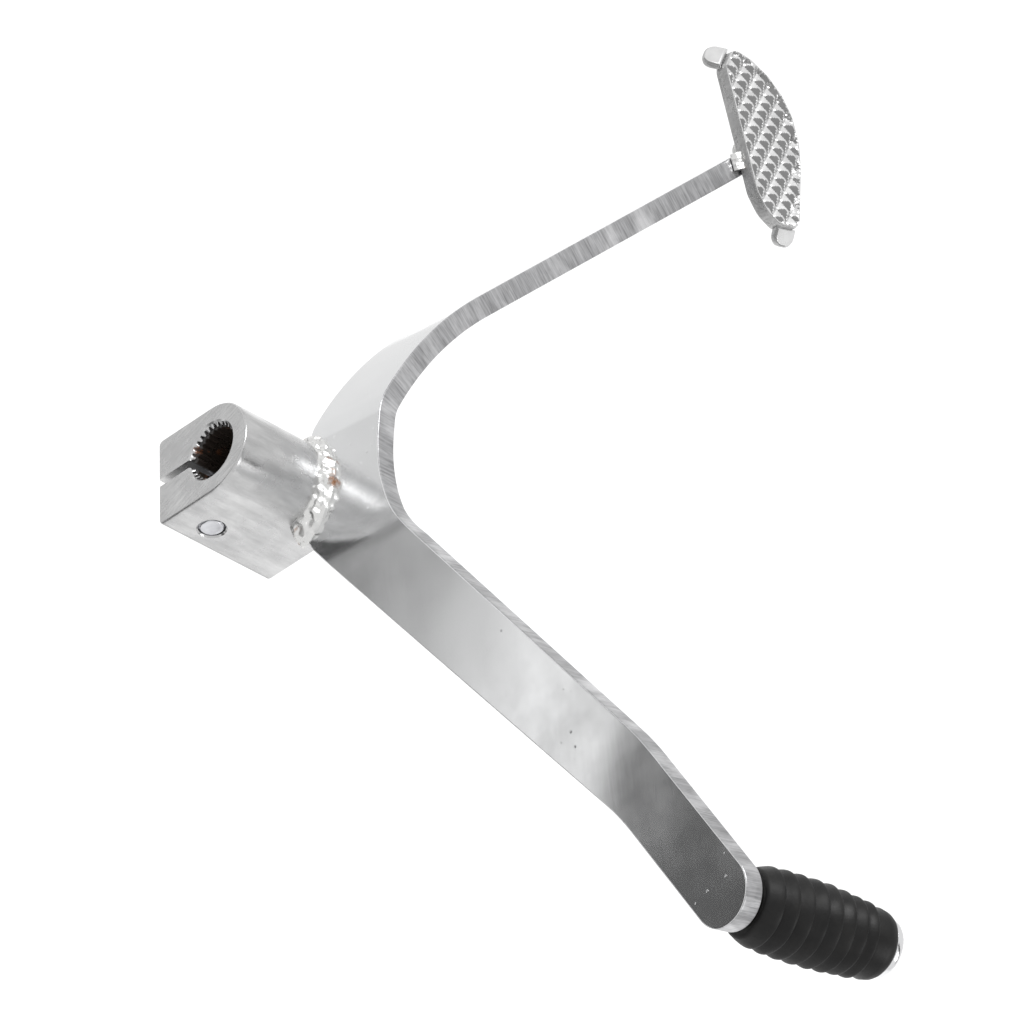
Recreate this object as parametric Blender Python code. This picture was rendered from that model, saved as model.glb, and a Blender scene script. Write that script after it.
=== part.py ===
"""Heel-and-toe gear shift lever for a small motorcycle.

Frame: the origin is on the shift shaft's axis, at the boss's engine-side face. +Y runs outward
along the shaft, +X forward towards the toe peg and +Z up, across the width of the strip.
"""

import math

import bmesh
import bpy
from mathutils import Matrix, Vector

MM = 0.001
GAP = 0.3  # every dimension below is in millimetres; welded and seated faces stand this far apart

# Clamp boss, in its own frame: the slot runs down its local -Z
BOSS_TURN = 7.2  # degrees about the shaft, slot foot leaning forward
BOSS_HALF_WIDTH = 11.2
BOSS_ROUND_CENTRE = 0.15
BOSS_FOOT = -16.9
BOSS_LENGTH = 31.9
BOSS_CHAMFER = 0.4
SLOT_HALF = 1.0
SPLINE_MAJOR = 6.9
SPLINE_MINOR = 6.2
SPLINE_MOUTH = 7.3
SPLINE_TEETH = 28

# Pinch bolt, M6, with its head on the boss's rear side in a spot face
BOLT_Y = 9.5
BOLT_Z = -10.3
BOLT_RADIUS = 3.0
BOLT_CLEAR_RADIUS = 3.35
BOLT_TAPPED_RADIUS = 3.08
BOLT_SEGMENTS = 32
BOLT_HEAD_FLATS = 10.0
BOLT_HEAD_HEIGHT = 4.0
SPOT_FACE_RADIUS = 7.0
SPOT_FACE_DEPTH = 1.6
SPRING_RADIUS = 5.4
SPRING_THICKNESS = 1.3

# Lever strip: a flat blank, outlined by (u, z), then bent about vertical axes.
# A fold is (distance from the shaft's axis along the strip, radius, angle).
STRIP_FACE = 24.6
STRIP_THICKNESS = 4.9
STRIP_CHAMFER = 0.3
STRIP_TOP = 26.45
STRIP_FOOT = 3.65
HEEL_FOLDS = ((10.3, 15.4, 24.0), (16.75, 117.0, 21.5))
TOE_FOLDS = ((14.2, 39.7, 13.0),)
HEEL_END = (-175.0, 7.8)
TOE_TIP = (131.3, 115.8)
TOE_TIP_RADIUS = 7.75
TOE_RISE = 34.0

# Toe peg and its rubber sleeve, along the peg's own axis
PEG_ROOT = (113.5, 115.7)  # distance along the toe arm from its fold, and height
PEG_DIRECTION = (-0.070, 0.9909, 0.115)
PEG_LEAN = 11.5
PEG_RADIUS = 4.5
PEG_LENGTH = 37.6
PEG_HEAD = ((37.6, 6.3), (38.9, 6.3), (39.7, 5.6), (40.2, 3.6), (40.4, 0.0))
SLEEVE_START = 2.2
SLEEVE_END = 37.3
SLEEVE_BORE = 4.8
SLEEVE_GROOVE = 0.9
SLEEVE_RIBS = (
    (6.1, 8.8), (9.8, 9.1), (13.5, 9.25), (17.3, 9.3),
    (21.1, 9.15), (24.7, 8.9), (28.1, 8.6), (31.2, 8.3),
)

# Heel pad, in its own frame: local X along the pad, local Y away from the arm
PAD_ORIGIN = (-130.85, 125.4, 26.75)
PAD_TURN = 27.0
PAD_THICKNESS = 2.3
PAD_OUTLINE = (
    (-16.2, -0.2), (3.0, -1.4), (14.5, -2.2), (19.5, -0.7), (23.0, 2.4), (24.3, 8.9),
    (16.8, 12.4), (9.5, 15.8), (3.3, 17.8), (-3.4, 18.2), (-8.6, 16.9), (-13.9, 13.7),
    (-17.9, 9.5), (-20.8, 4.5),
)
TREAD_HEIGHT = 1.2
TREAD_GROOVES = ((-49.0, 4.07, 0.8), (27.0, 2.74, 0.9))  # direction in degrees, pitch and rim width
# A tab is the outline corner it starts at, the next one, its reach and its turn down
PAD_TABS = ((13, 0, 3.8, 45.0), (4, 5, 3.3, 30.0))


def clear_scene():
    for obj in list(bpy.data.objects):
        bpy.data.objects.remove(obj, do_unlink=True)


def material(name, colour, roughness, metallic):
    made = bpy.data.materials.new(name)
    made.use_nodes = True
    shader = made.node_tree.nodes["Principled BSDF"]
    shader.inputs["Base Color"].default_value = (*colour, 1.0)
    shader.inputs["Roughness"].default_value = roughness
    shader.inputs["Metallic"].default_value = metallic
    return made


def add_object(name, shape, slot, parent=None, matrix=None):
    """Turns a bmesh in millimetres into a named object; matrix places it in its parent."""
    bmesh.ops.recalc_face_normals(shape, faces=shape.faces)
    bmesh.ops.scale(shape, vec=(MM, MM, MM), verts=shape.verts)
    mesh = bpy.data.meshes.new(name)
    shape.to_mesh(mesh)
    shape.free()
    obj = bpy.data.objects.new(name, mesh)
    bpy.context.scene.collection.objects.link(obj)
    if slot:
        mesh.materials.append(slot)
    obj.parent = parent
    placed = (matrix or Matrix.Identity(4)).copy()
    placed.translation *= MM
    obj.matrix_local = placed
    return obj


def shade_by_angle(obj, degrees):
    """Smooth faces, with an edge kept sharp where its two faces turn by more than the angle."""
    shape = bmesh.new()
    shape.from_mesh(obj.data)
    for face in shape.faces:
        face.smooth = True
    for edge in shape.edges:
        edge.smooth = len(edge.link_faces) == 2 and edge.calc_face_angle(0.0) < math.radians(degrees)
    shape.to_mesh(obj.data)
    shape.free()


def cut(obj, cutter, operation="DIFFERENCE"):
    cutter.hide_render = True
    cutter.display_type = "WIRE"
    step = obj.modifiers.new(cutter.name, "BOOLEAN")
    step.operation = operation
    step.solver = "EXACT"
    step.object = cutter


def loft(rings):
    """A body through equal rings of points, with its ends capped."""
    shape = bmesh.new()
    layers = [[shape.verts.new(point) for point in ring] for ring in rings]
    for low, high in zip(layers, layers[1:]):
        for i in range(len(low)):
            j = (i + 1) % len(low)
            shape.faces.new((low[i], low[j], high[j], high[i]))
    shape.faces.new(layers[0])
    shape.faces.new(layers[-1])
    return shape


def turned(profile, segments):
    """A body turned about local Z from (height, radius) pairs, from axis to axis or as a ring."""
    on_axis = profile[0][1] == 0.0 and profile[-1][1] == 0.0
    body = profile[1:-1] if on_axis else profile
    shape = bmesh.new()
    columns = []
    for i in range(segments):
        angle = 2.0 * math.pi * i / segments
        columns.append([
            shape.verts.new((r * math.cos(angle), r * math.sin(angle), h)) for h, r in body
        ])
    steps = len(body) - 1 if on_axis else len(body)
    for i, column in enumerate(columns):
        after = columns[(i + 1) % segments]
        for k in range(steps):
            m = (k + 1) % len(body)
            shape.faces.new((column[k], after[k], after[m], column[m]))
    if on_axis:
        for end, height in ((0, profile[0][0]), (-1, profile[-1][0])):
            tip = shape.verts.new((0.0, 0.0, height))
            for i, column in enumerate(columns):
                shape.faces.new((column[end], columns[(i + 1) % segments][end], tip))
    return shape


def arc(centre, radius, start, end, count):
    """Points of an arc, start and end in degrees, both ends included."""
    angles = [math.radians(start + (end - start) * i / (count - 1)) for i in range(count)]
    return [(centre[0] + radius * math.cos(a), centre[1] + radius * math.sin(a)) for a in angles]


def fillet(before, corner, after, radius, count):
    """The arc that rounds a corner between two straight runs."""
    corner = Vector(corner)
    a = (Vector(before) - corner).normalized()
    b = (Vector(after) - corner).normalized()
    half = 0.5 * a.angle(b)
    centre = corner + (a + b).normalized() * radius / math.sin(half)
    first = (corner + a * radius / math.tan(half)) - centre
    last = (corner + b * radius / math.tan(half)) - centre
    turn = math.atan2(first.cross(last), first.dot(last))
    points = []
    for i in range(count):
        t = turn * i / (count - 1)
        points.append((
            centre.x + first.x * math.cos(t) - first.y * math.sin(t),
            centre.y + first.x * math.sin(t) + first.y * math.cos(t),
        ))
    return points


def inset(outline, distance):
    """The closed anticlockwise outline moved inwards by a distance."""
    moved = []
    count = len(outline)
    for i in range(count):
        here = Vector(outline[i])
        into = (here - Vector(outline[i - 1])).normalized()
        away = (Vector(outline[(i + 1) % count]) - here).normalized()
        normal = Vector((-into.y - away.y, into.x + away.x)).normalized()
        spread = max(0.5, normal.dot(Vector((-into.y, into.x))))
        moved.append(tuple(here + normal * distance / spread))
    return moved


def chamfered_plate(outline, low, high, chamfer):
    """A plate over an (x, z) outline from y = low to y = high, chamfered round both faces."""
    small = inset(outline, chamfer)
    levels = ((small, low), (outline, low + chamfer), (outline, high - chamfer), (small, high))
    return loft([[(x, y, z) for x, z in ring] for ring, y in levels])


# --- clamp boss -------------------------------------------------------------------------------


def boss_outline():
    """The boss's outside from the slot's front lip round to its rear lip, anticlockwise."""
    w = BOSS_HALF_WIDTH
    foot = BOSS_FOOT
    points = [(SLOT_HALF, foot)]
    points += fillet((0.0, foot), (w, foot), (w, 0.0), 1.2, 4)
    points += arc((0.0, BOSS_ROUND_CENTRE), w, 0.0, 180.0, 25)
    points += fillet((-w, 0.0), (-w, foot), (0.0, foot), 1.2, 4)
    points.append((-SLOT_HALF, foot))
    return points


def spline_outline(tip, root):
    """The serrated bore from the slot's rear wall round to its front wall, clockwise."""
    points = []
    steps = 2 * SPLINE_TEETH
    for i in range(steps + 1):
        radius = root if i % 2 == 0 else tip
        half_slot = math.asin(SLOT_HALF / root)
        start = -0.5 * math.pi - half_slot
        angle = start - (2.0 * math.pi - 2.0 * half_slot) * i / steps
        points.append((radius * math.cos(angle), radius * math.sin(angle)))
    return points


def build_boss(frame, slot):
    outside = boss_outline()
    edge = inset(outside, BOSS_CHAMFER)
    edge[0] = (SLOT_HALF, edge[0][1])
    edge[-1] = (-SLOT_HALF, edge[-1][1])
    mouth = spline_outline(SPLINE_MOUTH, SPLINE_MOUTH)
    step = spline_outline(SPLINE_MAJOR, SPLINE_MAJOR)
    teeth = spline_outline(SPLINE_MINOR, SPLINE_MAJOR)
    levels = (
        (0.0, edge, mouth),
        (BOSS_CHAMFER, outside, step),
        (BOSS_CHAMFER + SPLINE_MAJOR - SPLINE_MINOR, outside, teeth),
        (BOSS_LENGTH - BOSS_CHAMFER, outside, teeth),
        (BOSS_LENGTH, edge, teeth),
    )
    rings = [[(x, y, z) for x, z in outer + bore] for y, outer, bore in levels]
    boss = add_object("clamp_boss", loft(rings), slot, frame)
    w = BOSS_HALF_WIDTH
    seat = -w + SPOT_FACE_DEPTH
    profile = (
        (-w - 2.0, 0.0), (-w - 2.0, SPOT_FACE_RADIUS), (seat, SPOT_FACE_RADIUS),
        (seat, BOLT_CLEAR_RADIUS), (0.0, BOLT_CLEAR_RADIUS), (0.0, BOLT_TAPPED_RADIUS),
        (w - 0.3, BOLT_TAPPED_RADIUS), (w + 2.0, BOLT_TAPPED_RADIUS + 2.3), (w + 2.0, 0.0),
    )
    hole = turned(profile, BOLT_SEGMENTS)
    cut(boss, add_object("bolt_hole", hole, None, frame, along_x(BOLT_Y, BOLT_Z)))
    shade_by_angle(boss, 30.0)


def along_x(y, z):
    """Places a turned piece with its axis along local X."""
    return Matrix.Translation((0.0, y, z)) @ Matrix.Rotation(math.radians(90.0), 4, "Y")


# --- pinch bolt and washers -------------------------------------------------------------------


def build_bolt(frame, slot):
    spring_seat = -BOSS_HALF_WIDTH + SPOT_FACE_DEPTH - GAP
    head_seat = spring_seat - SPRING_THICKNESS - GAP
    tip = BOSS_HALF_WIDTH - 0.2
    place = along_x(BOLT_Y, BOLT_Z)
    build_spring_washer(frame, slot, place, spring_seat)

    across = 0.5 * BOLT_HEAD_FLATS / math.cos(math.radians(30.0))
    low = head_seat - BOLT_HEAD_HEIGHT
    rings = []
    for x, radius in ((low, across * 0.86), (low + 0.7, across), (head_seat, across)):
        corners = [math.radians(60.0 * i) for i in range(6)]
        rings.append([(radius * math.cos(a), radius * math.sin(a), x) for a in corners])
    bolt = add_object("pinch_bolt", loft(rings), slot, frame, place)
    shank_profile = (
        (head_seat - 1.0, 0.0), (head_seat - 1.0, BOLT_RADIUS), (tip - 0.6, BOLT_RADIUS),
        (tip, BOLT_RADIUS - 0.6), (tip, 0.0),
    )
    shank = turned(shank_profile, BOLT_SEGMENTS)
    cut(bolt, add_object("bolt_shank", shank, None, frame, place), "UNION")
    shade_by_angle(bolt, 30.0)


def build_spring_washer(frame, slot, place, seat):
    """A split ring whose two ends are cut on a slant."""
    inner = BOLT_CLEAR_RADIUS
    outer = SPRING_RADIUS
    count = 30
    rings = []
    for i in range(count + 1):
        along = math.radians(6.0 + 348.0 * i / count)
        section = ((inner, 0.0), (outer, 0.0), (outer, -SPRING_THICKNESS), (inner, -SPRING_THICKNESS))
        ring = []
        for radius, depth in section:
            lean = math.radians(-8.0) * (depth / SPRING_THICKNESS + 0.5)
            angle = along + lean
            ring.append((radius * math.cos(angle), radius * math.sin(angle), seat + depth))
        rings.append(ring)
    washer = add_object("spring_washer", loft(rings), slot, frame, place)
    shade_by_angle(washer, 30.0)


# --- lever strip ------------------------------------------------------------------------------


def bent(u, depth):
    """Plan position of a point of the blank: u along the front face, depth behind it."""
    side, folds = (-1.0, HEEL_FOLDS) if u < 0.0 else (1.0, TOE_FOLDS)
    x, y, heading, done = 0.0, STRIP_FACE, 0.0, 0.0
    for start, radius, angle in folds + ((abs(u), 1.0, 0.0),):
        run = max(0.0, min(abs(u), start) - done)
        x += run * math.cos(heading)
        y += run * math.sin(heading)
        turn = min(max(0.0, abs(u) - start) / radius, math.radians(angle))
        x += radius * (math.sin(heading + turn) - math.sin(heading))
        y += radius * (math.cos(heading) - math.cos(heading + turn))
        heading += turn
        done += run + turn * radius
    return side * (x - depth * math.sin(heading)), y + depth * math.cos(heading)


def strip_outline():
    """The blank's outline, anticlockwise from the heel end's foot."""
    slope = math.radians(TOE_RISE)
    along = Vector((math.cos(slope), math.sin(slope)))
    across = Vector((-along.y, along.x))
    tip = Vector(TOE_TIP)
    low_end = tip - across * TOE_TIP_RADIUS
    high_end = tip + across * TOE_TIP_RADIUS
    heel_top = (HEEL_END[0], STRIP_TOP)
    taper_end = (-52.9, STRIP_FOOT)
    elbow_low = (12.9, STRIP_FOOT)
    shoulder_low = (106.4, 89.9)
    shoulder_high = (91.4, 98.3)
    elbow_high = (9.7, STRIP_TOP)
    points = fillet(heel_top, HEEL_END, taper_end, 3.0, 4)
    points.append(taper_end)
    points += fillet(taper_end, elbow_low, shoulder_low, 20.0, 9)
    points += fillet(elbow_low, shoulder_low, low_end, 60.0, 4)
    points += arc(TOE_TIP, TOE_TIP_RADIUS, TOE_RISE - 90.0, TOE_RISE + 90.0, 17)
    points += fillet(high_end, shoulder_high, elbow_high, 80.0, 4)
    points += fillet(shoulder_high, elbow_high, heel_top, 45.0, 12)
    points += fillet(elbow_high, heel_top, HEEL_END, 1.0, 3)
    return points


def build_strip(frame, slot):
    """The blank is cut across wherever it bends, then every point is moved to its bent place.

    Its foot is notched to sit astride the boss, which passes right through it.
    """
    shape = chamfered_plate(strip_outline(), 0.0, STRIP_THICKNESS, STRIP_CHAMFER)
    across = []
    for side, folds in ((-1.0, HEEL_FOLDS), (1.0, TOE_FOLDS)):
        for start, radius, angle in folds:
            count = math.ceil(angle / 3.5)
            length = math.radians(angle) * radius
            across += [side * (start + length * i / count) for i in range(count + 1)]
    for u in across:
        everything = shape.verts[:] + shape.edges[:] + shape.faces[:]
        bmesh.ops.bisect_plane(shape, geom=everything, plane_co=(u, 0, 0), plane_no=(1, 0, 0), dist=1e-4)
    bmesh.ops.triangulate(shape, faces=shape.faces)
    for vert in shape.verts:
        x, y = bent(vert.co.x, vert.co.y)
        vert.co = (x, y, vert.co.z)
    strip = add_object("lever_arm", shape, slot)
    notch = inset(boss_outline(), -GAP)
    notch[0] = (0.0, notch[0][1])
    notch[-1] = (0.0, notch[-1][1])
    notch.pop()
    rings = [[(x, y, z) for x, z in notch] for y in (STRIP_FACE - 6.0, BOSS_LENGTH + 6.0)]
    cut(strip, add_object("boss_notch", loft(rings), None, frame))
    shade_by_angle(strip, 25.0)


# --- weld beads -------------------------------------------------------------------------------


def bead(path):
    """A bead along a path of (corner, leg vector, other leg vector), convex between its legs."""
    weights = ((0.0, 0.0), (1.0, 0.0), (0.82, 0.38), (0.38, 0.82), (0.0, 1.0))
    rings = []
    for corner, leg, other in path:
        rings.append([Vector(corner) + Vector(leg) * s + Vector(other) * t for s, t in weights])
    return loft(rings)


def saddle_path(plane, across, along):
    """Round the boss's top where it passes through the strip; across gives the strip-side leg."""
    path = []
    count = len(across)
    radius = BOSS_HALF_WIDTH + GAP
    for i, leg in enumerate(across):
        angle = math.radians(18.0 + 128.0 * i / (count - 1))
        out = Vector((math.cos(angle), 0.0, math.sin(angle)))
        corner = out * radius + Vector((0.0, plane, BOSS_ROUND_CENTRE))
        path.append((corner, out * leg, Vector((0.0, along, 0.0))))
    return path


def build_welds(frame, slot):
    front_legs = (5.2, 5.0, 4.4, 3.7, 3.1, 2.6, 2.3, 2.1, 2.0, 2.0, 2.0, 2.0, 2.1, 2.2, 2.3, 2.4)
    front = bead(saddle_path(STRIP_FACE - GAP, front_legs, -2.9))
    rear = bead(saddle_path(STRIP_FACE + STRIP_THICKNESS + GAP, (2.4,) * 16, 1.9))
    for name, shape in (("boss_weld_front", front), ("boss_weld_rear", rear)):
        shade_by_angle(add_object(name, shape, slot, frame), 50.0)

    heading = math.radians(180.0 - sum(angle for _, _, angle in HEEL_FOLDS))
    side = Vector((-math.sin(heading), math.cos(heading), 0.0))
    sides = (("heel_pad_weld_left", -GAP, side), ("heel_pad_weld_right", STRIP_THICKNESS + GAP, -side))
    for name, depth, away in sides:
        path = []
        for u in (-168.0, -170.0, -172.0, -174.0):
            x, y = bent(u, depth)
            path.append(((x, y, PAD_ORIGIN[2] - GAP), away * 2.3, (0.0, 0.0, -2.3)))
        shade_by_angle(add_object(name, bead(path), slot), 50.0)

    turn = Matrix.Rotation(math.radians(PAD_TURN), 3, "Z")
    path = []
    for x, y in ((4.3, -1.5), (5.3, -1.55), (6.3, -1.6), (7.3, -1.65), (8.3, -1.7)):
        corner = Vector(PAD_ORIGIN) + turn @ Vector((x, y - GAP, 0.0))
        path.append((corner, turn @ Vector((0.0, -1.9, 0.0)), (0.0, 0.0, 1.7)))
    shade_by_angle(add_object("heel_pad_weld_inner", bead(path), slot), 50.0)


# --- toe peg and sleeve -----------------------------------------------------------------------


def peg_frame():
    """An empty at the peg's root on the strip's rear face, with local Z along the peg."""
    start, radius, angle = TOE_FOLDS[0]
    turn = math.radians(angle)
    corner = start + radius * math.tan(0.5 * turn)
    run, height = PEG_ROOT
    x = corner + run * math.cos(turn) - STRIP_THICKNESS * math.sin(turn)
    y = STRIP_FACE + run * math.sin(turn) + STRIP_THICKNESS * math.cos(turn)
    frame = bpy.data.objects.new("peg_frame", None)
    bpy.context.scene.collection.objects.link(frame)
    turned_to = Vector((0.0, 0.0, 1.0)).rotation_difference(Vector(PEG_DIRECTION))
    frame.matrix_local = Matrix.Translation(Vector((x, y, height)) * MM) @ turned_to.to_matrix().to_4x4()
    return frame


def sleeve_profile():
    """Sawtooth ribs: each rises away from the strip to a sharp edge, then steps down."""
    outside = [(SLEEVE_START, 7.2), (SLEEVE_START + 0.5, 7.7)]
    for height, radius in SLEEVE_RIBS:
        outside += [(height, radius), (height + 0.4, radius - SLEEVE_GROOVE)]
    outside += [(SLEEVE_END - 2.6, 7.9), (SLEEVE_END - 0.8, 7.5), (SLEEVE_END, 6.6)]
    return [(SLEEVE_START, SLEEVE_BORE)] + outside + [(SLEEVE_END, SLEEVE_BORE)]


def build_peg(frame, peg_slot, rubber_slot, weld_slot):
    # The root's rim is held clear of the strip, because the peg leans from the strip's normal.
    root = GAP + PEG_RADIUS * math.tan(math.radians(PEG_LEAN))
    pin = [(root, 0.0), (root, PEG_RADIUS), (PEG_LENGTH, PEG_RADIUS)]
    peg = add_object("toe_peg", turned(pin + list(PEG_HEAD), 32), peg_slot, frame)
    shade_by_angle(peg, 30.0)
    sleeve = add_object("toe_peg_rubber", turned(sleeve_profile(), 40), rubber_slot, frame)
    shade_by_angle(sleeve, 40.0)
    clear = PEG_RADIUS + GAP
    ring = ((1.5, clear), (1.5, clear + 1.1), (1.65, clear + 1.0), (1.9, clear + 0.4), (1.9, clear))
    weld = add_object("toe_peg_weld", turned(ring, 28), weld_slot, frame)
    shade_by_angle(weld, 50.0)


# --- heel pad ---------------------------------------------------------------------------------


def tread_cutter(name, frame, direction, pitch, rim):
    """Parallel V grooves in the pad's top, kept inside its plain rim."""
    shape = bmesh.new()
    bottom = PAD_THICKNESS
    top = PAD_THICKNESS + TREAD_HEIGHT + 0.4
    half = 0.5 * pitch - 0.02
    cos, sin = math.cos(math.radians(direction)), math.sin(math.radians(direction))
    count = math.ceil(26.0 / pitch)
    for i in range(-count, count + 1):
        ends = []
        for reach in (-45.0, 45.0):
            section = ((i * pitch, bottom), (i * pitch + half, top), (i * pitch - half, top))
            ends.append([
                shape.verts.new((reach * cos - side * sin, reach * sin + side * cos + 7.0, height))
                for side, height in section
            ])
        first, last = ends
        for k in range(3):
            m = (k + 1) % 3
            shape.faces.new((first[k], first[m], last[m], last[k]))
        shape.faces.new(first)
        shape.faces.new(last)
    grooves = add_object(name, shape, None, frame)
    field = inset(PAD_OUTLINE, rim)
    prism = loft([[(x, y, z) for x, y in field] for z in (-1.0, top + 2.0)])
    cut(grooves, add_object(name + "_field", prism, None, frame), "INTERSECT")
    return grooves


def tab_body(width, reach):
    """A flat tab along local X, with a rounded end."""
    half = 0.5 * width
    corner = min(2.6, 0.45 * width)
    outline = [(-1.2, -half)]
    outline += fillet((-1.2, -half), (reach, -half), (reach, half), corner, 6)
    outline += fillet((reach, -half), (reach, half), (-1.2, half), corner, 6)
    outline.append((-1.2, half))
    low, high = 0.15, PAD_THICKNESS - 0.15
    return loft([[(x, y, z) for x, y in outline] for z in (low, high)])


def build_pad(slot):
    frame = bpy.data.objects.new("pad_frame", None)
    bpy.context.scene.collection.objects.link(frame)
    place = Matrix.Translation(Vector(PAD_ORIGIN) * MM)
    frame.matrix_local = place @ Matrix.Rotation(math.radians(PAD_TURN), 4, "Z")
    top = PAD_THICKNESS + TREAD_HEIGHT
    levels = ((0.35, 0.0), (0.0, 0.35), (0.0, top - 0.4), (0.3, top))
    rings = [[(x, y, z) for x, y in inset(PAD_OUTLINE, by)] for by, z in levels]
    pad = add_object("heel_pad", loft(rings), slot, frame)
    for direction, pitch, rim in TREAD_GROOVES:
        cut(pad, tread_cutter(f"tread_cut_{pitch:g}", frame, direction, pitch, rim))
    for start, end, reach, down in PAD_TABS:
        first, last = Vector(PAD_OUTLINE[start]), Vector(PAD_OUTLINE[end])
        middle = 0.5 * (first + last)
        edge = last - first
        heading = math.atan2(-edge.x, edge.y)
        place = Matrix.Translation((middle.x, middle.y, 0.0)) @ Matrix.Rotation(heading, 4, "Z")
        place = place @ Matrix.Rotation(math.radians(down), 4, "Y")
        tab = add_object(f"tab_{start}", tab_body(edge.length - 0.3, reach), None, frame, place)
        cut(pad, tab, "UNION")
    shade_by_angle(pad, 20.0)


def main():
    clear_scene()
    plated = material("plated_steel", (0.80, 0.81, 0.82), 0.14, 1.0)
    ground = material("ground_steel", (0.66, 0.66, 0.66), 0.34, 1.0)
    zinc = material("zinc_steel", (0.60, 0.61, 0.63), 0.32, 1.0)
    weld = material("weld_metal", (0.52, 0.50, 0.47), 0.38, 1.0)
    rubber = material("black_rubber", (0.012, 0.012, 0.013), 0.55, 0.0)

    boss_frame = bpy.data.objects.new("boss_frame", None)
    bpy.context.scene.collection.objects.link(boss_frame)
    boss_frame.matrix_local = Matrix.Rotation(math.radians(-BOSS_TURN), 4, "Y")

    build_boss(boss_frame, ground)
    build_bolt(boss_frame, zinc)
    build_strip(boss_frame, plated)
    build_welds(boss_frame, weld)
    build_peg(peg_frame(), plated, rubber, weld)
    build_pad(plated)


main()
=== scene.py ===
import math

import bmesh
import bpy
from mathutils import Matrix, Vector, noise


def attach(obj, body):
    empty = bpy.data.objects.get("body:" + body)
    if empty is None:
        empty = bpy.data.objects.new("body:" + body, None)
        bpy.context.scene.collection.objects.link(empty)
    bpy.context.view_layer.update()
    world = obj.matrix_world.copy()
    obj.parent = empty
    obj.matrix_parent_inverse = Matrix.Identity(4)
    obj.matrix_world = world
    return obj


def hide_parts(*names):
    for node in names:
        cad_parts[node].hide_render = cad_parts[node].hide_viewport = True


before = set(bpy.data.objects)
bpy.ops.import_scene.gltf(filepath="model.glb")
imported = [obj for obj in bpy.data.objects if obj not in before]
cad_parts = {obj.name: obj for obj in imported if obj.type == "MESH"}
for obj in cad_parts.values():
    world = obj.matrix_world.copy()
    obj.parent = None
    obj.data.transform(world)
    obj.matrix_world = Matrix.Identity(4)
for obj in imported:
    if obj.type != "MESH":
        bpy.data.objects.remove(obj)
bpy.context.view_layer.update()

# Heel-and-toe gear shift lever. Lengths are in millimetres and angles in degrees, except in the
# finishes and the studio, which are in metres. The origin is on the shift shaft's axis at the
# boss's engine-side face; +Y runs outward along the shaft, +X towards the toe peg and +Z up.
MM = 0.001
GAP = 0.3

# Clamp boss, in its own frame: the slot runs down its local -Z
BOSS_TURN = 7.2
BOSS_HALF_WIDTH = 11.2
BOSS_ROUND_CENTRE = 0.15
BOSS_FOOT = -16.9
BOSS_LENGTH = 31.9
BOSS_EDGE = 0.45
BOSS_FOOT_ROUND = 1.3
SLOT_HALF = 1.0
SPLINE_MAJOR = 6.9
SPLINE_MINOR = 6.2
SPLINE_MOUTH = 7.3
SPLINE_TEETH = 28

# Pinch bolt, M6, and its spring washer in the spot face on the boss's rear side
BOLT_Y = 9.5
BOLT_Z = -10.3
BOLT_RADIUS = 3.0
BOLT_ROOT = 2.55
BOLT_PITCH = 1.0
BOLT_CLEAR_RADIUS = 3.35
BOLT_TAPPED_RADIUS = 3.08
BOLT_TIP_ROUND = 0.55
BOLT_HEAD_FLATS = 10.0
BOLT_HEAD_HEIGHT = 4.0
SPOT_FACE_RADIUS = 7.0
SPOT_FACE_DEPTH = 1.6
SPRING_RADIUS = 5.4
SPRING_THICKNESS = 1.3
SPRING_EDGE = 0.22
SPRING_GAP = 12.0  # angle of its split
SPRING_SLANT = 8.0

# Lever strip: a flat blank in x and z, bent in plan by (start, radius, angle) folds
STRIP_FACE = 24.6
STRIP_THICKNESS = 4.9
STRIP_EDGE = 0.35
STRIP_TOP = 26.45
STRIP_FOOT = 3.65
HEEL_FOLDS = ((10.3, 15.4, 24.0), (16.75, 117.0, 21.5))
TOE_FOLDS = ((14.2, 39.7, 13.0),)
HEEL_END = (-175.0, 7.8)
TOE_TIP = (131.3, 115.8)
TOE_TIP_RADIUS = 7.75
TOE_RISE = 34.0

# Weld beads: the width of a bead's leg, at even steps along its run
FRONT_LEGS = (5.2, 5.0, 4.4, 3.7, 3.1, 2.6, 2.3, 2.1, 2.0, 2.0, 2.0, 2.0, 2.1, 2.2, 2.3, 2.4)
FRONT_LEG_ON_BOSS = 3.2
REAR_LEGS = (2.4, 2.4)
REAR_LEG_ON_BOSS = 1.9
PAD_LEG = 2.3
PAD_WELD_START = 168.0  # along the blank's heel arm
PAD_WELD_RUN = 6.0

# Toe peg and its sleeve, along the pin from the strip's face
PEG_ROOT = (113.5, 115.7)
PEG_DIRECTION = (-0.070, 0.9909, 0.115)
PEG_LEAN = 11.5
PEG_RADIUS = 4.5
PEG_HEAD = (
    (37.6, 6.1), (37.7, 6.25), (37.9, 6.32), (38.6, 6.32), (39.0, 6.2), (39.45, 5.85),
    (39.8, 5.3), (40.05, 4.5), (40.22, 3.4), (40.33, 2.0), (40.38, 0.8), (40.4, 0.0),
)
SLEEVE_START = 2.2
SLEEVE_END = 37.3
SLEEVE_BORE = 4.8
SLEEVE_GROOVE = 1.2
SLEEVE_WOBBLE = 0.16
SLEEVE_RIBS = (
    (6.1, 8.8), (9.8, 9.1), (13.5, 9.25), (17.3, 9.3),
    (21.1, 9.15), (24.7, 8.9), (28.1, 8.6), (31.2, 8.3),
)

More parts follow.
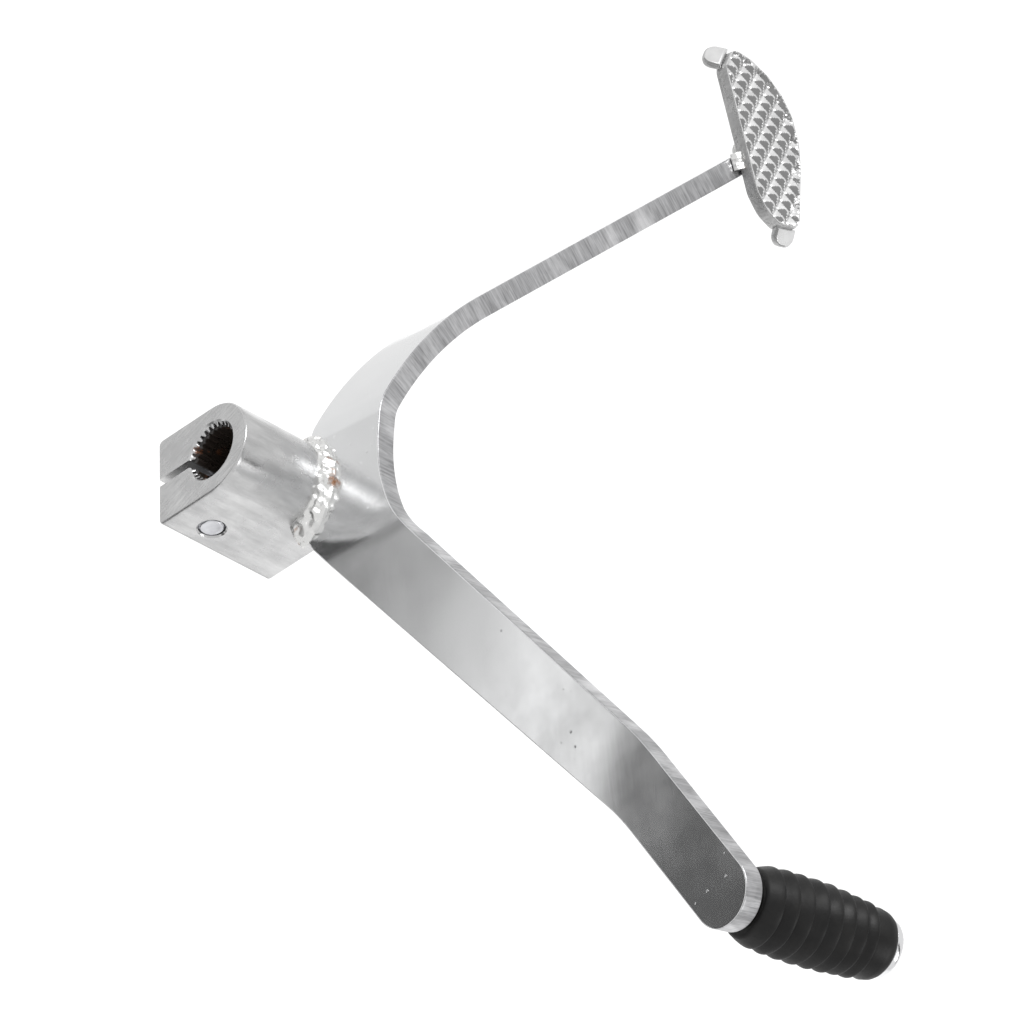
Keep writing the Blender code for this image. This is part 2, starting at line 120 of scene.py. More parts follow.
# Heel pad, in its own frame: the strip passes below its origin
PAD_ORIGIN = (-130.85, 125.4, 26.75)
PAD_TURN = 27.0
PAD_THICKNESS = 2.3
PAD_OUTLINE = (
    (-16.2, -0.2), (3.0, -1.4), (14.5, -2.2), (19.5, -0.7), (23.0, 2.4), (24.3, 8.9),
    (16.8, 12.4), (9.5, 15.8), (3.3, 17.8), (-3.4, 18.2), (-8.6, 16.9), (-13.9, 13.7),
    (-17.9, 9.5), (-20.8, 4.5),
)
PAD_RIM = 0.75
TREAD_HEIGHT = 1.2
TREAD_GROOVES = ((-49.0, 4.07), (27.0, 2.74))  # direction and pitch
TREAD_CENTRE = 7.0
# the studs' sides that face this way get the pad's finish darker, as painted shade
SHADED_SIDE = Vector((0.81, -0.59, 0.0)).normalized()
PAD_TABS = ((13, 0, 3.8, 45.0), (4, 5, 3.3, 30.0))  # outline's first and last point, reach, droop


# --- mesh helpers -----------------------------------------------------------------------------


def temporary(shape, place=None):
    """A linked object that holds the shape only while a modifier reads it."""
    mesh = bpy.data.meshes.new("temporary")
    bmesh.ops.recalc_face_normals(shape, faces=shape.faces)
    if place is not None:
        bmesh.ops.transform(shape, matrix=place, verts=shape.verts)
    shape.to_mesh(mesh)
    shape.free()
    obj = bpy.data.objects.new("temporary", mesh)
    bpy.context.scene.collection.objects.link(obj)
    return obj


def boolean(shape, cutter, operation, place=None):
    """The shape with the cutter taken away, joined or kept in common, as a new bmesh."""
    body, tool = temporary(shape), temporary(cutter, place)
    step = body.modifiers.new("cut", "BOOLEAN")
    step.operation, step.solver, step.object = operation, "EXACT", tool
    made = body.evaluated_get(bpy.context.evaluated_depsgraph_get()).to_mesh()
    result = bmesh.new()
    result.from_mesh(made)
    for obj in (body, tool):
        bpy.data.meshes.remove(obj.data)
    return result


def add_piece(name, shape, finishes, nodes, body, place=None, sharp=35.0, pick=None):
    """A finished piece in metres. pick(face) gives the index of a face's finish."""
    bmesh.ops.recalc_face_normals(shape, faces=shape.faces)
    if place is not None:
        bmesh.ops.transform(shape, matrix=place, verts=shape.verts)
    for face in shape.faces:
        face.smooth = True
        face.material_index = pick(face) if pick else 0
    for edge in shape.edges:
        edge.smooth = len(edge.link_faces) == 2 and edge.calc_face_angle(0.0) < math.radians(sharp)
    bmesh.ops.scale(shape, vec=(MM, MM, MM), verts=shape.verts)
    mesh = bpy.data.meshes.new(name)
    shape.to_mesh(mesh)
    shape.free()
    obj = bpy.data.objects.new(name, mesh)
    bpy.context.scene.collection.objects.link(obj)
    for finish in finishes:
        mesh.materials.append(finish)
    weighted = obj.modifiers.new("weighted_normals", "WEIGHTED_NORMAL")
    weighted.keep_sharp = True
    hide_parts(*nodes)
    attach(obj, body)
    return obj


def loft(rings):
    """A closed body through successive rings of points, with a flat cap at each end."""
    shape = bmesh.new()
    layers = [[shape.verts.new(point) for point in ring] for ring in rings]
    for low, high in zip(layers, layers[1:]):
        for i in range(len(low)):
            j = (i + 1) % len(low)
            shape.faces.new((low[i], low[j], high[j], high[i]))
    shape.faces.new(layers[0])
    shape.faces.new(layers[-1])
    return shape


def turned(profile, segments, wobble=0.0):
    """A body turned about local Z from (height, radius) pairs, its radius varied by the wobble."""
    on_axis = profile[0][1] == 0.0 and profile[-1][1] == 0.0
    body = profile[1:-1] if on_axis else profile
    shape = bmesh.new()
    columns = []
    for i in range(segments):
        angle = 2.0 * math.pi * i / segments
        column = []
        for h, r in body:
            spot = Vector((math.cos(angle) * 1.6, math.sin(angle) * 1.6, h * 0.35))
            out = r + wobble * noise.noise(spot)
            column.append(shape.verts.new((out * math.cos(angle), out * math.sin(angle), h)))
        columns.append(column)
    steps = len(body) - 1 if on_axis else len(body)
    for i, column in enumerate(columns):
        after = columns[(i + 1) % segments]
        for k in range(steps):
            m = (k + 1) % len(body)
            shape.faces.new((column[k], after[k], after[m], column[m]))
    if on_axis:
        for end, height in ((0, profile[0][0]), (-1, profile[-1][0])):
            tip = shape.verts.new((0.0, 0.0, height))
            for i, column in enumerate(columns):
                shape.faces.new((column[end], columns[(i + 1) % segments][end], tip))
    return shape


def arc(centre, radius, start, end, count):
    """Points of an arc between two angles."""
    angles = [math.radians(start + (end - start) * i / (count - 1)) for i in range(count)]
    return [(centre[0] + radius * math.cos(a), centre[1] + radius * math.sin(a)) for a in angles]


def fillet(before, corner, after, radius, count):
    """Points of the arc that rounds a corner."""
    corner = Vector(corner)
    a = (Vector(before) - corner).normalized()
    b = (Vector(after) - corner).normalized()
    half = 0.5 * a.angle(b)
    centre = corner + (a + b).normalized() * radius / math.sin(half)
    first = (corner + a * radius / math.tan(half)) - centre
    last = (corner + b * radius / math.tan(half)) - centre
    turn = math.atan2(first.cross(last), first.dot(last))
    points = []
    for i in range(count):
        t = turn * i / (count - 1)
        points.append((
            centre.x + first.x * math.cos(t) - first.y * math.sin(t),
            centre.y + first.x * math.sin(t) + first.y * math.cos(t),
        ))
    return points


def inset(outline, distance):
    """A closed outline moved inwards, with its points kept in step."""
    moved = []
    count = len(outline)
    for i in range(count):
        here = Vector(outline[i])
        into = (here - Vector(outline[i - 1])).normalized()
        away = (Vector(outline[(i + 1) % count]) - here).normalized()
        normal = Vector((-into.y - away.y, into.x + away.x)).normalized()
        spread = max(0.5, normal.dot(Vector((-into.y, into.x))))
        moved.append(tuple(here + normal * distance / spread))
    return moved


def even(outline, step):
    """A closed outline with points no further apart than step."""
    points = []
    for i, here in enumerate(outline):
        after = outline[(i + 1) % len(outline)]
        length = math.dist(here, after)
        count = max(1, math.ceil(length / step))
        for k in range(count):
            t = k / count
            points.append((here[0] + (after[0] - here[0]) * t, here[1] + (after[1] - here[1]) * t))
    return points


def rounded_levels(low, high, radius, steps=4):
    """(inset, height) pairs of a plate whose two edges are rounded."""
    quarter = [math.radians(90.0 * k / steps) for k in range(steps + 1)]
    first = [(radius * (1.0 - math.sin(a)), low + radius * (1.0 - math.cos(a))) for a in quarter]
    return first + [(by, low + high - at) for by, at in reversed(first)]


def bent(u, depth):
    """Plan position of a point of the flat blank: u along the front face, depth behind it."""
    side, folds = (-1.0, HEEL_FOLDS) if u < 0.0 else (1.0, TOE_FOLDS)
    x, y, heading, done = 0.0, STRIP_FACE, 0.0, 0.0
    for start, radius, angle in folds + ((abs(u), 1.0, 0.0),):
        run = max(0.0, min(abs(u), start) - done)
        x += run * math.cos(heading)
        y += run * math.sin(heading)
        turn = min(max(0.0, abs(u) - start) / radius, math.radians(angle))
        x += radius * (math.sin(heading + turn) - math.sin(heading))
        y += radius * (math.cos(heading) - math.cos(heading + turn))
        heading += turn
        done += run + turn * radius
    return side * (x - depth * math.sin(heading)), y + depth * math.cos(heading)


# --- finishes ---------------------------------------------------------------------------------


class Finish:
    """A procedural material on object coordinates, which are metres in the part's frame.

    Noise scales are per metre, and bump distances are in metres."""

    def __init__(self, name, colour, roughness, metallic):
        self.made = bpy.data.materials.new(name)
        self.made.use_nodes = True
        self.tree = self.made.node_tree
        self.shader = self.tree.nodes["Principled BSDF"]
        self.shader.inputs["Base Color"].default_value = (*colour, 1.0)
        self.shader.inputs["Roughness"].default_value = roughness
        self.shader.inputs["Metallic"].default_value = metallic
        self.place = self.node("ShaderNodeTexCoord").outputs["Object"]

    def node(self, kind, links=(), **values):
        """A node with its properties set and its sockets linked to sources or given values."""
        made = self.tree.nodes.new(kind)
        for key, value in values.items():
            setattr(made, key, value)
        for socket, source in dict(links).items():
            if isinstance(source, bpy.types.NodeSocket):
                self.tree.links.new(source, made.inputs[socket])
            else:
                made.inputs[socket].default_value = source
        return made

    def scaled(self, scale, turn=(0.0, 0.0, 0.0), source=None):
        """Coordinates turned and then multiplied, so that a noise of scale 1 is stretched."""
        spread = tuple(1.0 / s for s in scale)
        links = {"Vector": source or self.place, "Scale": spread, "Rotation": turn}
        return self.node("ShaderNodeMapping", links, vector_type="TEXTURE").outputs["Vector"]

    def noise(self, vector, scale, detail=3.0, roughness=0.55, distortion=0.0):
        links = {
            "Vector": vector, "Scale": scale, "Detail": detail, "Roughness": roughness,
            "Distortion": distortion,
        }
        return self.node("ShaderNodeTexNoise", links).outputs["Fac"]

    def ramp(self, value, *stops):
        """Stops are (place, grey or colour); the result is a colour, or a grey used as a value."""
        made = self.node("ShaderNodeValToRGB", {"Fac": value})
        elements = made.color_ramp.elements
        while len(elements) < len(stops):
            elements.new(0.5)
        for element, (place, colour) in zip(elements, stops):
            element.position = place
            rgb = (colour,) * 3 if isinstance(colour, float) else colour
            element.color = (*rgb, 1.0)
        return made.outputs["Color"]

    def math(self, operation, a, b=0.0):
        return self.node("ShaderNodeMath", {0: a, 1: b}, operation=operation).outputs[0]

    def mix(self, factor, a, b):
        a, b = ((*c, 1.0) if isinstance(c, tuple) else c for c in (a, b))
        return self.node("ShaderNodeMix", {0: factor, 6: a, 7: b}, data_type="RGBA").outputs[2]

    def bump(self, height, distance, strength=1.0, under=None):
        links = {"Height": height, "Distance": distance, "Strength": strength}
        if under is not None:
            links["Normal"] = under
        return self.node("ShaderNodeBump", links).outputs["Normal"]

    def wire(self, **sockets):
        """The material, its shader linked to sources; _ stands for a space in a socket's name."""
        for name, source in sockets.items():
            self.tree.links.new(source, self.shader.inputs[name.replace("_", " ")])
        return self.made


def chrome_finish(name, wave, base):
    """Plated wide faces: a slow wave in the polish, fine haze and a few raised specks."""
    f = Finish(name, base, 0.16, 1.0)
    haze = f.noise(f.scaled((1.0, 1.0, 1.0)), 90.0, 5.0, 0.6)
    rough = f.ramp(haze, (0.3, 0.10), (0.75, 0.18))
    tone = f.ramp(f.noise(f.place, 38.0, 4.0), (0.3, tuple(0.93 * c for c in base)), (0.7, base))
    waves = f.noise(f.place, 26.0, 1.0)
    grain = f.noise(f.scaled((60.0, 60.0, 900.0)), 1.0, 2.0)
    dots = f.node("ShaderNodeTexVoronoi", {"Vector": f.place, "Scale": 300.0, "Randomness": 1.0})
    where = f.ramp(f.noise(f.place, 60.0, 1.0), (0.52, 0.0), (0.60, 1.0))
    speck = f.math("MULTIPLY", f.ramp(dots.outputs["Distance"], (0.03, 1.0), (0.12, 0.0)), where)
    normal = f.bump(waves, wave)
    normal = f.bump(grain, 0.000004, 0.5, normal)
    normal = f.bump(speck, 0.00009, 0.6, normal)
    return f.wire(Base_Color=tone, Roughness=rough, Normal=normal)


def sheared_finish():
    """The strip's cut edges: tool lines run across the thickness, plated over."""
    f = Finish("sheared_edge", (0.55, 0.55, 0.56), 0.32, 1.0)
    uv = f.node("ShaderNodeUVMap", uv_map="edge").outputs["UV"]
    lines = f.noise(f.scaled((1700.0, 90.0, 1.0), source=uv), 1.0, 3.0, 0.7)
    broad = f.noise(f.scaled((140.0, 60.0, 1.0), source=uv), 1.0, 4.0, 0.6)
    tone = f.ramp(lines, (0.33, (0.26, 0.26, 0.265)), (0.62, (0.50, 0.50, 0.51)))
    tone = f.mix(f.ramp(broad, (0.46, 0.0), (0.68, 0.7)), tone, (0.82, 0.82, 0.83))
    rough = f.ramp(broad, (0.3, 0.42), (0.7, 0.26))
    normal = f.bump(lines, 0.00006, 0.8)
    normal = f.bump(broad, 0.00018, 0.7, normal)
    return f.wire(Base_Color=tone, Roughness=rough, Normal=normal)


def ground_finish(name, turn, stroke, lightness):
    """Ground steel: strokes in one direction, rust down in the bore and the slot, and painted shade
    deep in the bore.
    """
    f = Finish(name, (lightness,) * 3, 0.34, 1.0)
    strokes = f.noise(f.scaled(stroke, turn), 1.0, 4.0, 0.65)
    cloud = f.noise(f.place, 130.0, 4.0, 0.6)
    tone = f.ramp(strokes, (0.3, (0.80 * lightness,) * 3), (0.7, (1.12 * lightness,) * 3))
    tone = f.mix(f.ramp(cloud, (0.35, 0.0), (0.75, 0.5)), tone, (0.45, 0.45, 0.455))
    split = f.node("ShaderNodeSeparateXYZ", {"Vector": f.place})
    x, z = split.outputs["X"], split.outputs["Z"]
    from_axis = f.math("SQRT", f.math("ADD", f.math("MULTIPLY", x, x), f.math("MULTIPLY", z, z)))
    # lengths in centimetres fall within a ramp's range of 0 to 1
    inside = f.ramp(f.math("MULTIPLY", from_axis, 100.0), (0.69, 1.0), (0.73, 0.0))
    # painted shade: the bore goes near black from 1 mm to 2.2 mm in from the engine-side face
    deep = f.ramp(f.math("MULTIPLY", split.outputs["Y"], 100.0), (0.10, 0.0), (0.22, 1.0))
    soot_and_shade = f.math("MULTIPLY", inside, deep)
    # the bore's painted shade, mixed into the colour
    tone = f.mix(soot_and_shade, tone, (0.045, 0.036, 0.03))
    spots = f.ramp(f.noise(f.place, 260.0, 5.0, 0.7), (0.60, 0.0), (0.66, 1.0))
    rust = f.math("MULTIPLY", inside, spots)
    tone = f.mix(rust, tone, (0.20, 0.085, 0.045))
    rough = f.ramp(cloud, (0.3, 0.18), (0.75, 0.36))
    metal = f.ramp(f.math("MAXIMUM", rust, soot_and_shade), (0.2, 1.0), (0.8, 0.2))
    normal = f.bump(strokes, 0.00003, 0.7)
    normal = f.bump(cloud, 0.00006, 0.6, normal)
    return f.wire(Base_Color=tone, Roughness=rough, Metallic=metal, Normal=normal)


def weld_finish():
    """Plated-over weld metal with rust and soot left in its low places."""
    f = Finish("weld_metal", (0.72, 0.72, 0.71), 0.26, 1.0)
    rust = f.ramp(f.noise(f.place, 120.0, 4.0, 0.6, 0.4), (0.60, 0.0), (0.66, 1.0))
    soot_and_shade = f.ramp(f.noise(f.place, 420.0, 5.0, 0.7), (0.62, 0.0), (0.74, 0.8))
    tone = f.mix(soot_and_shade, (0.80, 0.80, 0.79), (0.10, 0.09, 0.085))
    spots = f.noise(f.place, 700.0, 2.0)
    warm = f.ramp(spots, (0.35, (0.12, 0.05, 0.025)), (0.7, (0.42, 0.17, 0.05)))
    tone = f.mix(rust, tone, warm)
    metal = f.ramp(rust, (0.2, 1.0), (0.8, 0.1))
    rough = f.ramp(f.noise(f.place, 260.0, 3.0), (0.3, 0.16), (0.7, 0.42))
    lumps = f.noise(f.place, 330.0, 4.0, 0.6, 1.2)
    normal = f.bump(lumps, 0.00030, 0.8)
    return f.wire(Base_Color=tone, Roughness=rough, Metallic=metal, Normal=normal)


def rubber_finish():
    """Matt black rubber, slightly uneven and a little dusty."""
    f = Finish("black_rubber", (0.012, 0.012, 0.013), 0.5, 0.0)
    f.shader.inputs["Specular IOR Level"].default_value = 0.26
    dust = f.noise(f.place, 160.0, 5.0, 0.65)
    tone = f.ramp(dust, (0.35, (0.003, 0.003, 0.0032)), (0.8, (0.012, 0.0115, 0.011)))
    rough = f.ramp(f.noise(f.place, 90.0, 4.0), (0.3, 0.36), (0.75, 0.58))
    normal = f.bump(f.noise(f.place, 900.0, 3.0), 0.00008, 0.6)
    normal = f.bump(f.noise(f.place, 120.0, 2.0), 0.00022, 0.5, normal)
    return f.wire(Base_Color=tone, Roughness=rough, Normal=normal)


def pressed_finish(name, lightness, coarse):
    """The pad: plated over a pressed surface, whose grain is as deep as coarse says."""
    f = Finish(name, (lightness,) * 3, 0.26, 1.0)
    cloud = f.noise(f.place, 150.0, 4.0, 0.6)
    tone = f.ramp(cloud, (0.3, (0.84 * lightness,) * 3), (0.75, (1.06 * lightness,) * 3))
    rough = f.ramp(f.noise(f.place, 220.0, 3.0), (0.3, 0.22), (0.75, 0.36))
    normal = f.bump(f.noise(f.place, 700.0, 4.0, 0.6), coarse, 0.8)
    return f.wire(Base_Color=tone, Roughness=rough, Normal=normal)


def zinc_finish():
    """The bolt and its washer: zinc plate, clouded."""
    f = Finish("zinc_steel", (0.62, 0.63, 0.65), 0.3, 1.0)
    cloud = f.noise(f.place, 320.0, 4.0, 0.6)
    tone = f.ramp(cloud, (0.3, (0.50, 0.50, 0.53)), (0.75, (0.74, 0.75, 0.77)))
    rough = f.ramp(cloud, (0.3, 0.22), (0.75, 0.42))
    normal = f.bump(f.noise(f.place, 900.0, 3.0), 0.00005, 0.6)
    return f.wire(Base_Color=tone, Roughness=rough, Normal=normal)


CHROME = chrome_finish("arm_chrome", 0.00035, (0.83, 0.835, 0.84))
PEG_CHROME = chrome_finish("peg_chrome", 0.0001, (0.86, 0.86, 0.87))
SHEARED = sheared_finish()
STROKE_TURN = (0.0, math.radians(-29.0), 0.0)
GROUND_FACE = ground_finish("ground_face", STROKE_TURN, (2300.0, 400.0, 130.0), 0.60)
GROUND_SIDE = ground_finish("ground_side", (0.0, 0.0, 0.0), (420.0, 90.0, 420.0), 0.62)
WELD = weld_finish()
RUBBER = rubber_finish()
PAD_TREAD = pressed_finish("pad_tread", 0.80, 0.00006)
PAD_WALL = pressed_finish("pad_wall", 0.46, 0.0003)
# a darker copy of the pad's finish: painted shade on the studs' sides turned one way
PAD_PAINTED_SHADE = pressed_finish("pad_painted_shade", 0.30, 0.0002)
ZINC = zinc_finish()


# --- clamp boss -------------------------------------------------------------------------------

BOSS = Matrix.Rotation(math.radians(-BOSS_TURN), 4, "Y")
ALONG_BOLT = Matrix.Translation((0.0, BOLT_Y, BOLT_Z)) @ Matrix.Rotation(math.radians(90.0), 4, "Y")


def boss_outline(turns=65):
    """The D from the slot's front lip round to its rear lip."""
    w, foot = BOSS_HALF_WIDTH, BOSS_FOOT
    points = [(SLOT_HALF, foot)]
    points += fillet((0.0, foot), (w, foot), (w, 0.0), BOSS_FOOT_ROUND, 8)
    points += arc((0.0, BOSS_ROUND_CENTRE), w, 0.0, 180.0, turns)
    points += fillet((-w, 0.0), (-w, foot), (0.0, foot), BOSS_FOOT_ROUND, 8)
    points.append((-SLOT_HALF, foot))
    return points


def bore_outline(tip, root):
    """Rounded serrations from the slot's rear wall round to its front wall."""
    per_tooth = 8
    half_slot = math.asin(SLOT_HALF / root)
    count = per_tooth * SPLINE_TEETH
    points = []
    for i in range(count + 1):
        phase = abs(2.0 * ((i / per_tooth) % 1.0) - 1.0)
        lift = min(1.0, max(0.0, 1.18 * phase - 0.09))
        radius = tip + (root - tip) * lift
        angle = -0.5 * math.pi - half_slot - (2.0 * math.pi - 2.0 * half_slot) * i / count
        points.append((radius * math.cos(angle), radius * math.sin(angle)))
    return points


def boss_block():
    """The D and its bore, whose teeth start behind a chamfered mouth."""
    outside = boss_outline()
    bevel = SPLINE_MOUTH - SPLINE_MAJOR
    teeth_start = bevel + SPLINE_MAJOR - SPLINE_MINOR
    mouth = bore_outline(SPLINE_MOUTH, SPLINE_MOUTH)
    step = bore_outline(SPLINE_MAJOR, SPLINE_MAJOR)
    teeth = bore_outline(SPLINE_MINOR, SPLINE_MAJOR)
    rings = [(teeth_start, outside, teeth)]
    for by, y in rounded_levels(0.0, BOSS_LENGTH, BOSS_EDGE):
        outer = inset(outside, by)
        outer[0], outer[-1] = (SLOT_HALF, outer[0][1]), (-SLOT_HALF, outer[-1][1])
        if y >= teeth_start:
            bore = teeth
        else:
            t = min(1.0, y / bevel)
            bore = [tuple(Vector(m).lerp(Vector(s), t)) for m, s in zip(mouth, step)]
        rings.append((y, outer, bore))
    rings.sort(key=lambda ring: ring[0])
    return loft([[(x, y, z) for x, z in outer + bore] for y, outer, bore in rings])


def bolt_hole():
    """The cutter of the cross hole: spot face, clear half, tapped half and countersunk end."""
    w, beyond = BOSS_HALF_WIDTH, BOSS_HALF_WIDTH + 2.0
    seat = -w + SPOT_FACE_DEPTH
    countersink = BOLT_TAPPED_RADIUS + 0.55
    return turned((
        (-beyond, 0.0), (-beyond, SPOT_FACE_RADIUS), (seat, SPOT_FACE_RADIUS),
        (seat, BOLT_CLEAR_RADIUS), (0.0, BOLT_CLEAR_RADIUS), (0.0, BOLT_TAPPED_RADIUS),
        (w - 0.35, BOLT_TAPPED_RADIUS), (w + 0.2, countersink), (beyond, countersink),
        (beyond, 0.0),
    ), 72)


def build_boss():
    boss = boolean(boss_block(), bolt_hole(), "DIFFERENCE", ALONG_BOLT)
    add_piece("clamp_boss_ground", boss, (GROUND_FACE, GROUND_SIDE), ("clamp_boss",),
              "lever", BOSS, 28.0, lambda face: 0 if abs(face.normal.y) > 0.9 else 1)


# --- pinch bolt and washer --------------------------------------------------------------------


def threaded(start, end, tip_round):
    """A threaded shank from start to end along local Z, with its helix in the mesh."""
    segments, per_turn = 48, 10
    rows = int((end - start) / BOLT_PITCH * per_turn)
    rings = []
    for k in range(rows + 1):
        z = start + (end - start) * k / rows
        ring = []
        for i in range(segments):
            angle = 2.0 * math.pi * i / segments
            phase = ((z / BOLT_PITCH) - i / segments) % 1.0
            lift = min(1.0, max(0.0, 1.5 * (1.0 - abs(2.0 * phase - 1.0)) - 0.25))
            most = BOLT_RADIUS - max(0.0, z - (end - tip_round))
            radius = min(BOLT_ROOT + (BOLT_RADIUS - BOLT_ROOT) * lift, most)
            ring.append((radius * math.cos(angle), radius * math.sin(angle), z))
        rings.append(ring)
    last = rings[-1]
    for part, rise in ((0.86, 0.0), (0.62, -0.10), (0.3, -0.16)):
        rings.append([(x * part, y * part, end + rise) for x, y, _ in last])
    return loft(rings)


def bolt_head(low, seat):
    """A hexagon whose outer corners are turned off."""
    across = 0.5 * BOLT_HEAD_FLATS / math.cos(math.radians(30.0))
    corners = arc((0.0, 0.0), across, 0.0, 360.0, 7)
    hexagon = []
    for here, after in zip(corners, corners[1:]):
        hexagon += [tuple(Vector(here).lerp(Vector(after), t / 8.0)) for t in range(8)]
    levels = rounded_levels(low, seat, 0.3, 3)
    head = loft([[(x, y, z) for x, y in inset(hexagon, by)] for by, z in levels])
    dome = turned((
        (low - 1.0, 0.0), (low - 1.0, 0.45 * BOLT_HEAD_FLATS), (low, 0.48 * BOLT_HEAD_FLATS),
        (low + 0.45, 0.53 * BOLT_HEAD_FLATS), (low + 0.95, across + 0.1),
        (seat + 1.0, across + 0.1), (seat + 1.0, 0.0),
    ), 60)
    return boolean(head, dome, "INTERSECT")


def spring_washer(seat):
    """A split ring whose two ends are cut on a slant."""
    inner, outer, edge, foot = BOLT_CLEAR_RADIUS, SPRING_RADIUS, SPRING_EDGE, -SPRING_THICKNESS
    section = (
        (inner + edge, 0.0), (outer - edge, 0.0), (outer, -edge), (outer, foot + edge),
        (outer - edge, foot), (inner + edge, foot), (inner, foot + edge), (inner, -edge),
    )
    rings, count = [], 96
    for i in range(count + 1):
        along = math.radians(0.5 * SPRING_GAP + (360.0 - SPRING_GAP) * i / count)
        ring = []
        for radius, depth in section:
            angle = along - math.radians(SPRING_SLANT) * (depth / SPRING_THICKNESS + 0.5)
            ring.append((radius * math.cos(angle), radius * math.sin(angle), seat + depth))
        rings.append(ring)
    return loft(rings)


def build_bolt():
    spring_seat = -BOSS_HALF_WIDTH + SPOT_FACE_DEPTH - GAP
    head_seat = spring_seat - SPRING_THICKNESS - GAP
    tip = BOSS_HALF_WIDTH - 0.2
    place = BOSS @ ALONG_BOLT
    head = bolt_head(head_seat - BOLT_HEAD_HEIGHT, head_seat)
    bolt = boolean(head, threaded(head_seat - 0.8, tip, BOLT_TIP_ROUND), "UNION")
    add_piece("pinch_bolt_threaded", bolt, (ZINC,), ("pinch_bolt",),
              "bolt", place, 32.0)
    add_piece("spring_washer_split", spring_washer(spring_seat), (ZINC,),
              ("spring_washer",), "washer", place, 32.0)


# --- lever strip ------------------------------------------------------------------------------


def strip_outline():
    """The flat blank: straight heel arm, elbow, straight toe arm and round tip."""
    slope = math.radians(TOE_RISE)
    along = Vector((math.cos(slope), math.sin(slope)))
    across = Vector((-along.y, along.x))
    tip = Vector(TOE_TIP)
    low_end, high_end = tip - across * TOE_TIP_RADIUS, tip + across * TOE_TIP_RADIUS
    heel_top = (HEEL_END[0], STRIP_TOP)
    taper_end = (-52.9, STRIP_FOOT)
    elbow_low, elbow_high = (12.9, STRIP_FOOT), (9.7, STRIP_TOP)
    shoulder_low, shoulder_high = (106.4, 89.9), (91.4, 98.3)
    points = fillet(heel_top, HEEL_END, taper_end, 3.0, 8)
    points.append(taper_end)
    points += fillet(taper_end, elbow_low, shoulder_low, 20.0, 24)
    points += fillet(elbow_low, shoulder_low, low_end, 60.0, 14)
    points += arc(TOE_TIP, TOE_TIP_RADIUS, TOE_RISE - 90.0, TOE_RISE + 90.0, 48)
    points += fillet(high_end, shoulder_high, elbow_high, 80.0, 14)
    points += fillet(shoulder_high, elbow_high, heel_top, 45.0, 34)
    points += fillet(elbow_high, heel_top, HEEL_END, 1.0, 5)
    return points


def build_strip():
    """A flat blank with rounded edges, cut across into narrow bands and then bent."""
    outline = even(strip_outline(), 1.5)
    lengths = [0.0]
    for here, after in zip(outline, outline[1:]):
        lengths.append(lengths[-1] + math.dist(here, after))
    levels = rounded_levels(0.0, STRIP_THICKNESS, STRIP_EDGE, 3)
    shape = bmesh.new()
    uv = shape.loops.layers.uv.new("edge")
    layers = []
    for by, y in levels:
        layers.append([shape.verts.new((x, y, z)) for x, z in inset(outline, by)])
    for row, (low, high) in enumerate(zip(layers, layers[1:])):
        for i in range(len(low)):
            j = (i + 1) % len(low)
            face = shape.faces.new((low[i], low[j], high[j], high[i]))
            face.material_index = 1 if 0 < row < len(levels) - 2 else 0
            ends = (lengths[i], lengths[j] if j else lengths[i] + 1.5)
            depths = (levels[row][1], levels[row + 1][1])
            for loop, (a, b) in zip(face.loops, ((0, 0), (1, 0), (1, 1), (0, 1))):
                loop[uv].uv = (ends[a] * MM, depths[b] * MM)
    shape.faces.new(layers[0])
    shape.faces.new(layers[-1])
    marks = list(range(-172, 136, 4))
    for side, folds in ((-1.0, HEEL_FOLDS), (1.0, TOE_FOLDS)):
        for start, radius, angle in folds:
            count = math.ceil(angle / 1.5)
            length = math.radians(angle) * radius
            marks += [side * (start + length * i / count) for i in range(count + 1)]
    for u in marks:
        bmesh.ops.bisect_plane(shape, geom=shape.verts[:] + shape.edges[:] + shape.faces[:],
                               plane_co=(u, 0, 0), plane_no=(1, 0, 0), dist=1e-4)
    for vert in shape.verts:
        x, y = bent(vert.co.x, vert.co.y)
        vert.co = (x, y, vert.co.z)
    notch = inset(boss_outline(25), -GAP)
    notch[0] = (0.0, notch[0][1])
    notch[-1] = (0.0, notch[-1][1])
    notch.pop()
    rings = [[(x, y, z) for x, z in notch] for y in (STRIP_FACE - 6.0, BOSS_LENGTH + 6.0)]
    arm = boolean(shape, loft(rings), "DIFFERENCE", BOSS)
    add_piece("lever_arm_plated", arm, (CHROME, SHEARED), ("lever_arm",), "lever",
              None, 40.0, lambda face: face.material_index)


# --- weld beads -------------------------------------------------------------------------------


def bead(path, lump, ripple):
    """A convex fillet along (corner, leg, other leg) rows, rippled and lumpy on its outside."""
    across = 12
    rings = []
    for row, (corner, leg, other) in enumerate(path):
        corner, leg, other = Vector(corner), Vector(leg), Vector(other)
        fade = min(1.0, row / 5.0, (len(path) - 1 - row) / 5.0)
        ring = [corner]
        for k in range(across + 1):
            a = 0.5 * math.pi * k / across
            s, t = math.cos(a) ** 1.15, math.sin(a) ** 1.15
            point = corner + leg * s + other * t
            out = (leg.normalized() * s + other.normalized() * t).normalized()
            edge = math.sin(math.pi * k / across)
            bow = 0.3 * ripple * math.sin(0.8 * row + 1.9 * math.cos(a * 1.4))
            along = Vector((row * 0.09, k * 0.55, 0.0))
            rough = lump * noise.noise(point * 0.5) + 0.55 * lump * noise.noise(along)
            ring.append(point + out * (rough + bow) * fade * (0.25 + 0.75 * edge))
        rings.append(ring)
    return loft(rings)


def between(values, t):
    """A value read from evenly spaced ones, t from 0 to 1."""
    at = t * (len(values) - 1)
    i = min(int(at), len(values) - 2)
    return values[i] + (values[i + 1] - values[i]) * (at - i)


